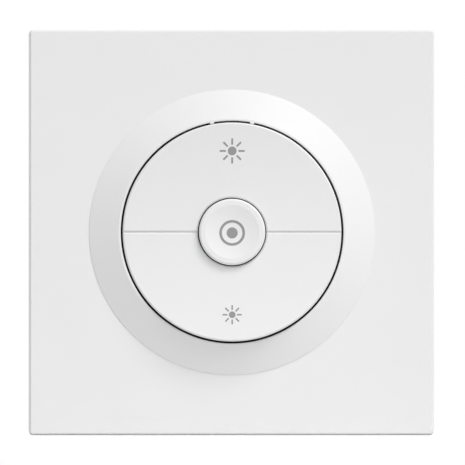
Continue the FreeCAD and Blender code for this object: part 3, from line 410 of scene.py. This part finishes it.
def wound_wire(name, enamel, wire, direction):
    """Coil of enamelled wire: one band of height for each turn, with painted shade in the
    grooves between turns and a painted highlight along each turn's crown.
    """
    material, tree, shader, place = new_finish(name)
    shader.inputs["Metallic"].default_value = 0.55
    shader.inputs["Coat Weight"].default_value = 0.5
    shader.inputs["Coat Roughness"].default_value = 0.15
    turns_and_shading = bands(tree, place, WAVE_PERIOD / wire, direction, distortion=0.35, detail=1.0)
    connect(
        tree, shader,
        # The bands darken the grooves between turns and lighten their crowns: painted shade and
        # painted highlight.
        colour=toned(tree, turns_and_shading, enamel, darkest=0.35, lightest=1.2),
        roughness=spread(tree, turns_and_shading, 0.5, 0.25),
        normal=bump(tree, turns_and_shading, wire * 0.4),
    )
    return material


def coated(name, colour, roughness, ripple, ripple_depth, coat):
    """Dipped, cast or shrunk coating: soft ripples under a clear gloss."""
    material, tree, shader, place = new_finish(name)
    shader.inputs["Coat Weight"].default_value = coat
    shader.inputs["Coat Roughness"].default_value = 0.12
    waves = noise(tree, place, ripple)
    connect(
        tree, shader,
        colour=toned(tree, waves, colour, darkest=0.85, lightest=1.12),
        roughness=spread(tree, waves, roughness - 0.06, roughness + 0.08),
        normal=bump(tree, waves, ripple_depth),
    )
    return material


def fired_ferrite(name, colour):
    """Ground ferrite: fine pits with brighter, smoother ground patches."""
    material, tree, shader, place = new_finish(name)
    pits = add_node(
        tree, "ShaderNodeTexVoronoi", {"Vector": place, "Scale": PIT_SCALE},
        feature="SMOOTH_F1",
    ).outputs["Distance"]
    ground = noise(tree, place, GROUND_PATCH, detail=3.0)
    connect(
        tree, shader,
        colour=toned(tree, ground, colour, darkest=0.8, lightest=1.4),
        roughness=spread(tree, ground, 0.62, 0.38),
        normal=bump(tree, pits, 0.00003),
    )
    return material


def clear_part(name, colour, transmission, roughness):
    """See-through resin or moulding with a faint haze."""
    material, tree, shader, place = new_finish(name)
    shader.inputs["Transmission Weight"].default_value = transmission
    shader.inputs["IOR"].default_value = 1.49
    haze = noise(tree, place, RESIN_HAZE)
    connect(
        tree, shader,
        colour=toned(tree, haze, colour, darkest=0.96, lightest=1.0),
        roughness=spread(tree, haze, roughness, roughness + 0.08),
        normal=bump(tree, haze, 0.000004),
    )
    return material


def capped_fuse(name, cap, low, high):
    """Fuse: clear glass tube between plated end caps, told apart by place along X."""
    material, tree, shader, place = new_finish(name)
    middle = (low + high) / 2
    bare = (high - low) / 2 - FUSE_CAP_LENGTH
    along = add_node(tree, "ShaderNodeSeparateXYZ", {"Vector": place}).outputs["X"]
    reach = calculate(tree, "ABSOLUTE", calculate(tree, "SUBTRACT", along, middle))
    capped = calculate(tree, "GREATER_THAN", reach, bare)
    smear = noise(tree, place, FUSE_SMEAR, detail=3.0)
    glass = blend_colours(tree, smear, SMEARED_GLASS, CLEAN_GLASS)
    metal = toned(tree, smear, cap, darkest=0.9, lightest=1.05)
    tree.links.new(capped, shader.inputs["Metallic"])
    tree.links.new(spread(tree, capped, 0.9, 0.0), shader.inputs["Transmission Weight"])
    connect(
        tree, shader,
        colour=blend_colours(tree, capped, glass, metal),
        roughness=spread(tree, capped, 0.06, 0.30),
        normal=bump(tree, smear, 0.000003),
    )
    return material


def dress(material, *nodes):
    """Put a finish on CAD nodes in place of their plain one."""
    for node in nodes:
        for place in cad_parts[node].material_slots:
            place.material = material


def face_finder(node):
    """Return a function that gives the depth (Y) of a node's front face at x, z."""
    shell = bmesh.new()
    shell.from_mesh(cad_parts[node].data)
    tree = BVHTree.FromBMesh(shell)
    shell.free()

    def depth(x, z):
        hit = tree.ray_cast(Vector((x, -1.0, z)), Vector((0.0, 1.0, 0.0)))[0]
        if hit is None:
            raise ValueError(f"{node} has no face at {x}, {z}")
        return hit.y

    return depth


def add_patch(shell, outline, depth, sizes):
    """Add one closed patch of ink over an outline of x, z points, laid on a face."""
    top = [shell.verts.new((x, depth(x, z) - sizes.ink_height, z)) for x, z in outline]
    root = [shell.verts.new((x, depth(x, z) + sizes.ink_root, z)) for x, z in outline]
    shell.faces.new(top)
    shell.faces.new(reversed(root))
    for index in range(len(outline)):
        after = (index + 1) % len(outline)
        shell.faces.new((top[index], root[index], root[after], top[after]))


def circle_points(radius, count, height):
    """Points x, z around a circle whose centre is at x = 0 and a height."""
    step = 2 * math.pi / count
    return [
        (radius * math.cos(step * index), height + radius * math.sin(step * index))
        for index in range(count)
    ]


def ink_piece(name, shell, body):
    """Make an object of the ink, riding on the body that carries the print."""
    bmesh.ops.recalc_face_normals(shell, faces=shell.faces)
    mesh = bpy.data.meshes.new(name)
    shell.to_mesh(mesh)
    shell.free()
    mesh.materials.append(print_ink())
    piece = bpy.data.objects.new(name, mesh)
    bpy.context.collection.objects.link(piece)
    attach(piece, body)


def print_sun(name, node, height, disc, start, end, ray):
    """Print a sun of a disc and short rays on a key's face."""
    sizes = bpy.context.scene.dimmer_print
    depth = face_finder(node)
    shell = bmesh.new()
    add_patch(shell, circle_points(disc, SUN_DISC_SIDES, height), depth, sizes)
    for index in range(sizes.ray_count):
        turn = 2 * math.pi * index / sizes.ray_count
        along = Vector((math.cos(turn), math.sin(turn)))
        across = Vector((-along.y, along.x)) * ray / 2
        corners = (
            along * start - across, along * end - across,
            along * end + across, along * start + across,
        )
        outline = [(corner.x, corner.y + height) for corner in corners]
        add_patch(shell, outline, depth, sizes)
    ink_piece(name, shell, node)


def print_ink():
    """The ink's finish, made once and shared by the three marks."""
    made = bpy.data.materials.get("print_ink")
    if made is None:
        colours = bpy.context.scene.dimmer_colours
        made = moulded(
            "print_ink", colours.print_ink,
            roughness=0.5, grain=0.00008, grain_depth=0.000003,
        )
    return made


class DIMMER_OT_cover_plastics(bpy.types.Operator):
    """Give the plate, collar, keys and button their fine white moulded face"""

    bl_idname = "dimmer.cover_plastics"
    bl_label = "Cover Plastics"

    def execute(self, context):
        cover = context.scene.dimmer_colours.cover
        face = {"roughness": 0.55, "grain": 0.00010, "grain_depth": 0.000006}
        dress(moulded("cover_plastic", cover, **face, edge=0.00010), "cover_plate")
        dress(moulded("collar_plastic", cover, **face, edge=0.00008), "trim_collar")
        keys = moulded("key_plastic", cover, **face, edge=0.00002)
        dress(keys, "upper_key", "lower_key", "centre_button")
        return {"FINISHED"}


class DIMMER_OT_inner_plastics(bpy.types.Operator):
    """Give the carrier, cup, terminal block, spacer, plungers and light guide their plastics"""

    bl_idname = "dimmer.inner_plastics"
    bl_label = "Inner Plastics"

    def execute(self, context):
        colours = context.scene.dimmer_colours
        # Near-black carrier behind the keys, darkening the gaps round them: painted shade.
        carrier = moulded(
            "carrier_plastic", colours.carrier,
            roughness=0.55, grain=0.00016, grain_depth=0.000010,
        )
        cup = moulded(
            "cup_plastic", colours.cup,
            roughness=0.50, grain=0.00022, grain_depth=0.000016, edge=0.0003,
        )
        terminal = moulded(
            "terminal_plastic", colours.terminal,
            roughness=0.48, grain=0.00015, grain_depth=0.000010,
        )
        spacer = moulded(
            "spacer_plastic", colours.spacer,
            roughness=0.45, grain=0.00014, grain_depth=0.000008,
        )
        black = moulded(
            "moulded_black", colours.moulded_black,
            roughness=0.42, grain=0.00012, grain_depth=0.000006,
        )
        guide = clear_part("guide_clear", colours.guide, transmission=0.95, roughness=0.06)
        dress(carrier, "key_carrier")
        dress(cup, "housing_shell")
        dress(terminal, "terminal_block")
        dress(spacer, "board_spacer")
        dress(black, "upper_plunger", "lower_plunger", "centre_plunger")
        dress(black, "pin_header", "pin_socket")
        dress(guide, "status_light_guide")
        return {"FINISHED"}


class DIMMER_OT_metalwork(bpy.types.Operator):
    """Give the frame, screws, shield, switch covers, spreader and cages their metals"""

    bl_idname = "dimmer.metalwork"
    bl_label = "Metalwork"

    def execute(self, context):
        colours = context.scene.dimmer_colours
        zinc = rolled_metal(
            "frame_zinc", colours.zinc,
            roughness=0.34, scratch_depth=0.000003, spangle=ZINC_FLOWER,
        )
        switch_cover = rolled_metal(
            "switch_cover", colours.bright_steel, roughness=0.26, scratch_depth=0.000002
        )
        tin = rolled_metal("shield_tin", colours.tin, roughness=0.30, scratch_depth=0.000002)
        aluminium = rolled_metal(
            "spreader_aluminium", colours.aluminium, roughness=0.36, scratch_depth=0.000004
        )
        brass = rolled_metal(
            "cage_brass", colours.brass, roughness=0.30, scratch_depth=0.000003
        )
        steel = turned_metal("screw_steel", colours.bright_steel, roughness=0.28)
        # The screws behind the keys are near-black to darken the ring gap: painted shade.
        black_steel = turned_metal("screw_shade_black", colours.black_steel, roughness=0.45)
        dress(zinc, "support_frame")
        dress(switch_cover, "upper_switch", "centre_switch", "lower_switch")
        dress(tin, "radio_shield")
        dress(aluminium, "heat_spreader")
        dress(brass, "terminal_cages")
        dress(steel, "frame_screws", "terminal_screws")
        dress(black_steel, "carrier_screws")
        return {"FINISHED"}


class DIMMER_OT_boards(bpy.types.Operator):
    """Give the boards and radio module their laminate, and the chips and lamp their resin"""

    bl_idname = "dimmer.boards"
    bl_label = "Boards"

    def execute(self, context):
        colours = context.scene.dimmer_colours
        laminate = circuit_board("board_laminate", colours.mask, colours.laminate_edge)
        dress(laminate, "control_board", "power_board", "radio_module")
        chip = moulded(
            "chip_resin", colours.chip_resin,
            roughness=0.60, grain=0.00006, grain_depth=0.000006,
        )
        dress(chip, "microcontroller", "power_transistors")
        lamp = clear_part("lamp_resin", colours.lamp, transmission=0.6, roughness=0.2)
        dress(lamp, "status_led")
        return {"FINISHED"}


class DIMMER_OT_components(bpy.types.Operator):
    """Give the transformer, choke, capacitors, varistor and fuse their own finishes"""

    bl_idname = "dimmer.components"
    bl_label = "Components"

    def execute(self, context):
        colours = context.scene.dimmer_colours
        transformer = wound_wire("transformer_wire", colours.copper, TRANSFORMER_WIRE, "Y")
        choke = wound_wire("choke_wire", colours.copper, CHOKE_WIRE, "Y")
        ferrite = fired_ferrite("core_ferrite", colours.ferrite)
        sleeve = coated(
            "capacitor_sleeve", colours.sleeve,
            roughness=0.32, ripple=0.004, ripple_depth=0.00003, coat=0.4,
        )
        film_case = coated(
            "film_case", colours.film_case,
            roughness=0.38, ripple=0.0015, ripple_depth=0.000012, coat=0.2,
        )
        varistor = coated(
            "varistor_coat", colours.varistor,
            roughness=0.35, ripple=0.0012, ripple_depth=0.00005, coat=0.5,
        )
        low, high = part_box("fuse")
        fuse = capped_fuse("fuse_tube", colours.bright_steel, low[0], high[0])
        dress(transformer, "transformer_winding")
        dress(choke, "choke_winding")
        dress(ferrite, "transformer_core", "choke_core")
        dress(sleeve, "bulk_capacitor")
        dress(film_case, "film_capacitor")
        dress(varistor, "varistor")
        dress(fuse, "fuse")
        return {"FINISHED"}


class DIMMER_OT_sun_marks(bpy.types.Operator):
    """Print the larger sun on the upper key and the smaller one on the lower key"""

    bl_idname = "dimmer.sun_marks"
    bl_label = "Sun Marks"

    def execute(self, context):
        sizes = context.scene.dimmer_print
        print_sun(
            "bright_sun", "upper_key", sizes.bright_sun_height, sizes.bright_sun_disc,
            sizes.bright_sun_start, sizes.bright_sun_end, sizes.bright_sun_ray,
        )
        print_sun(
            "dim_sun", "lower_key", -sizes.dim_sun_drop, sizes.dim_sun_disc,
            sizes.dim_sun_start, sizes.dim_sun_end, sizes.dim_sun_ray,
        )
        return {"FINISHED"}


class DIMMER_OT_button_mark(bpy.types.Operator):
    """Print the ring and its dot in the dish of the centre button"""

    bl_idname = "dimmer.button_mark"
    bl_label = "Button Mark"

    def execute(self, context):
        sizes = context.scene.dimmer_print
        depth = face_finder("centre_button")
        centre = -sizes.button_drop
        shell = bmesh.new()
        add_patch(shell, circle_points(sizes.dot_radius, DOT_SIDES, centre), depth, sizes)
        inner = circle_points(sizes.ring_radius - sizes.ring_line / 2, RING_SIDES, centre)
        outer = circle_points(sizes.ring_radius + sizes.ring_line / 2, RING_SIDES, centre)
        loops = []
        for outline, height in (
            (inner, sizes.ink_height), (outer, sizes.ink_height),
            (outer, -sizes.ink_root), (inner, -sizes.ink_root),
        ):
            loops.append([shell.verts.new((x, depth(x, z) - height, z)) for x, z in outline])
        for here, beside in zip(loops, loops[1:] + loops[:1]):
            for index in range(len(here)):
                after = (index + 1) % len(here)
                shell.faces.new((here[index], here[after], beside[after], beside[index]))
        ink_piece("button_ring", shell, "centre_button")
        return {"FINISHED"}


class DIMMER_OT_stage(bpy.types.Operator):
    """Set the pale floor, the even sky, the key and fill lights and the camera"""

    bl_idname = "dimmer.stage"
    bl_label = "Stage"

    def execute(self, context):
        stage = context.scene.dimmer_stage
        self.add_floor(context, stage)
        self.light_sky(context, stage)
        self.add_key_light(context, stage)
        self.add_fill_light(context, stage)
        self.add_camera(context, stage)
        context.scene.view_settings.view_transform = "Standard"
        return {"FINISHED"}

    @staticmethod
    def seen_directly(tree):
        """1 for what the lens, a mirror or clear plastic sees, 0 for light on the object."""
        path = add_node(tree, "ShaderNodeLightPath").outputs
        either = calculate(tree, "MAXIMUM", path["Is Camera Ray"], path["Is Glossy Ray"])
        return calculate(tree, "MAXIMUM", either, path["Is Transmission Ray"])

    def add_floor(self, context, stage):
        half = stage.floor_width / 2
        level = LOADED_BOX[0][2]
        shell = bmesh.new()
        corners = [(-half, -half), (half, -half), (half, half), (-half, half)]
        shell.faces.new([shell.verts.new((x, y, level)) for x, y in corners])
        mesh = bpy.data.meshes.new("floor")
        shell.to_mesh(mesh)
        shell.free()
        material, tree, shader, place = new_finish("floor_paper")
        shader.inputs["Roughness"].default_value = 0.9
        shader.inputs["Specular IOR Level"].default_value = 0.1
        shader.inputs["Emission Color"].default_value = WHITE
        grain = noise(tree, place, PAPER_GRAIN)
        connect(tree, shader, colour=blend_colours(tree, grain, DARKER_PAPER, LIGHTER_PAPER))
        glow = calculate(tree, "MULTIPLY", self.seen_directly(tree), stage.floor_glow)
        tree.links.new(glow, shader.inputs["Emission Strength"])
        mesh.materials.append(material)
        floor = bpy.data.objects.new("floor", mesh)
        context.collection.objects.link(floor)

    def light_sky(self, context, stage):
        world = bpy.data.worlds.new("studio")
        world.use_nodes = True
        tree = world.node_tree
        strength = spread(tree, self.seen_directly(tree), stage.sky_strength, 1.0)
        sky = tree.nodes["Background"]
        sky.inputs["Color"].default_value = WHITE
        tree.links.new(strength, sky.inputs["Strength"])
        context.scene.world = world

    def add_key_light(self, context, stage):
        lamp = bpy.data.lights.new("key_light", "SUN")
        lamp.energy = stage.key_strength
        lamp.angle = stage.key_softness
        towards = Vector((
            math.sin(stage.key_tilt) * math.cos(stage.key_turn),
            -math.cos(stage.key_tilt),
            math.sin(stage.key_tilt) * math.sin(stage.key_turn),
        ))
        light = bpy.data.objects.new("key_light", lamp)
        light.location = towards
        light.rotation_euler = towards.to_track_quat("Z", "Y").to_euler()
        context.collection.objects.link(light)

    def add_fill_light(self, context, stage):
        lamp = bpy.data.lights.new("fill_light", "AREA")
        lamp.energy = stage.fill_power
        lamp.size = stage.fill_side
        light = bpy.data.objects.new("fill_light", lamp)
        light.location = stage.fill_place
        light.rotation_euler = light.location.to_track_quat("Z", "Y").to_euler()
        light.visible_camera = False
        context.collection.objects.link(light)

    def add_camera(self, context, stage):
        lens = bpy.data.cameras.new("camera")
        lens.lens = stage.lens
        lens.sensor_width = SENSOR_WIDTH
        lens.clip_start = NEAREST_SEEN
        lens.clip_end = FARTHEST_SEEN
        camera = bpy.data.objects.new("camera", lens)
        level = math.cos(stage.camera_lift)
        away = Vector((
            level * math.sin(stage.camera_turn),
            -level * math.cos(stage.camera_turn),
            math.sin(stage.camera_lift),
        ))
        camera.location = Vector(stage.aim) + away * stage.camera_distance
        camera.rotation_euler = away.to_track_quat("Z", "Y").to_euler()
        context.collection.objects.link(camera)
        context.scene.camera = camera


class DIMMER_PT_looks(bpy.types.Panel):
    """Lists the steps that finish the dimmer"""

    bl_label = "Smart Dimmer"
    bl_idname = "DIMMER_PT_looks"
    bl_space_type = "VIEW_3D"
    bl_region_type = "UI"
    bl_category = "Dimmer"

    def draw(self, context):
        for step in STEPS:
            self.layout.operator(step.bl_idname)
        for group in ("dimmer_colours", "dimmer_print", "dimmer_stage"):
            sizes = getattr(context.scene, group)
            box = self.layout.box()
            for name in sizes.bl_rna.properties.keys():
                if name not in ("rna_type", "name"):
                    box.prop(sizes, name)


GROUPS = (DimmerColours, DimmerPrint, DimmerStage)
STEPS = (
    DIMMER_OT_cover_plastics,
    DIMMER_OT_inner_plastics,
    DIMMER_OT_metalwork,
    DIMMER_OT_boards,
    DIMMER_OT_components,
    DIMMER_OT_sun_marks,
    DIMMER_OT_button_mark,
    DIMMER_OT_stage,
)


def register():
    for item in GROUPS + STEPS + (DIMMER_PT_looks,):
        bpy.utils.register_class(item)
    bpy.types.Scene.dimmer_colours = PointerProperty(type=DimmerColours)
    bpy.types.Scene.dimmer_print = PointerProperty(type=DimmerPrint)
    bpy.types.Scene.dimmer_stage = PointerProperty(type=DimmerStage)


def unregister():
    del bpy.types.Scene.dimmer_stage
    del bpy.types.Scene.dimmer_print
    del bpy.types.Scene.dimmer_colours
    for item in reversed(GROUPS + STEPS + (DIMMER_PT_looks,)):
        bpy.utils.unregister_class(item)


def main():
    register()
    bpy.ops.dimmer.cover_plastics()
    bpy.ops.dimmer.inner_plastics()
    bpy.ops.dimmer.metalwork()
    bpy.ops.dimmer.boards()
    bpy.ops.dimmer.components()
    bpy.ops.dimmer.sun_marks()
    bpy.ops.dimmer.button_mark()
    bpy.ops.dimmer.stage()


if __name__ == "__main__":
    main()
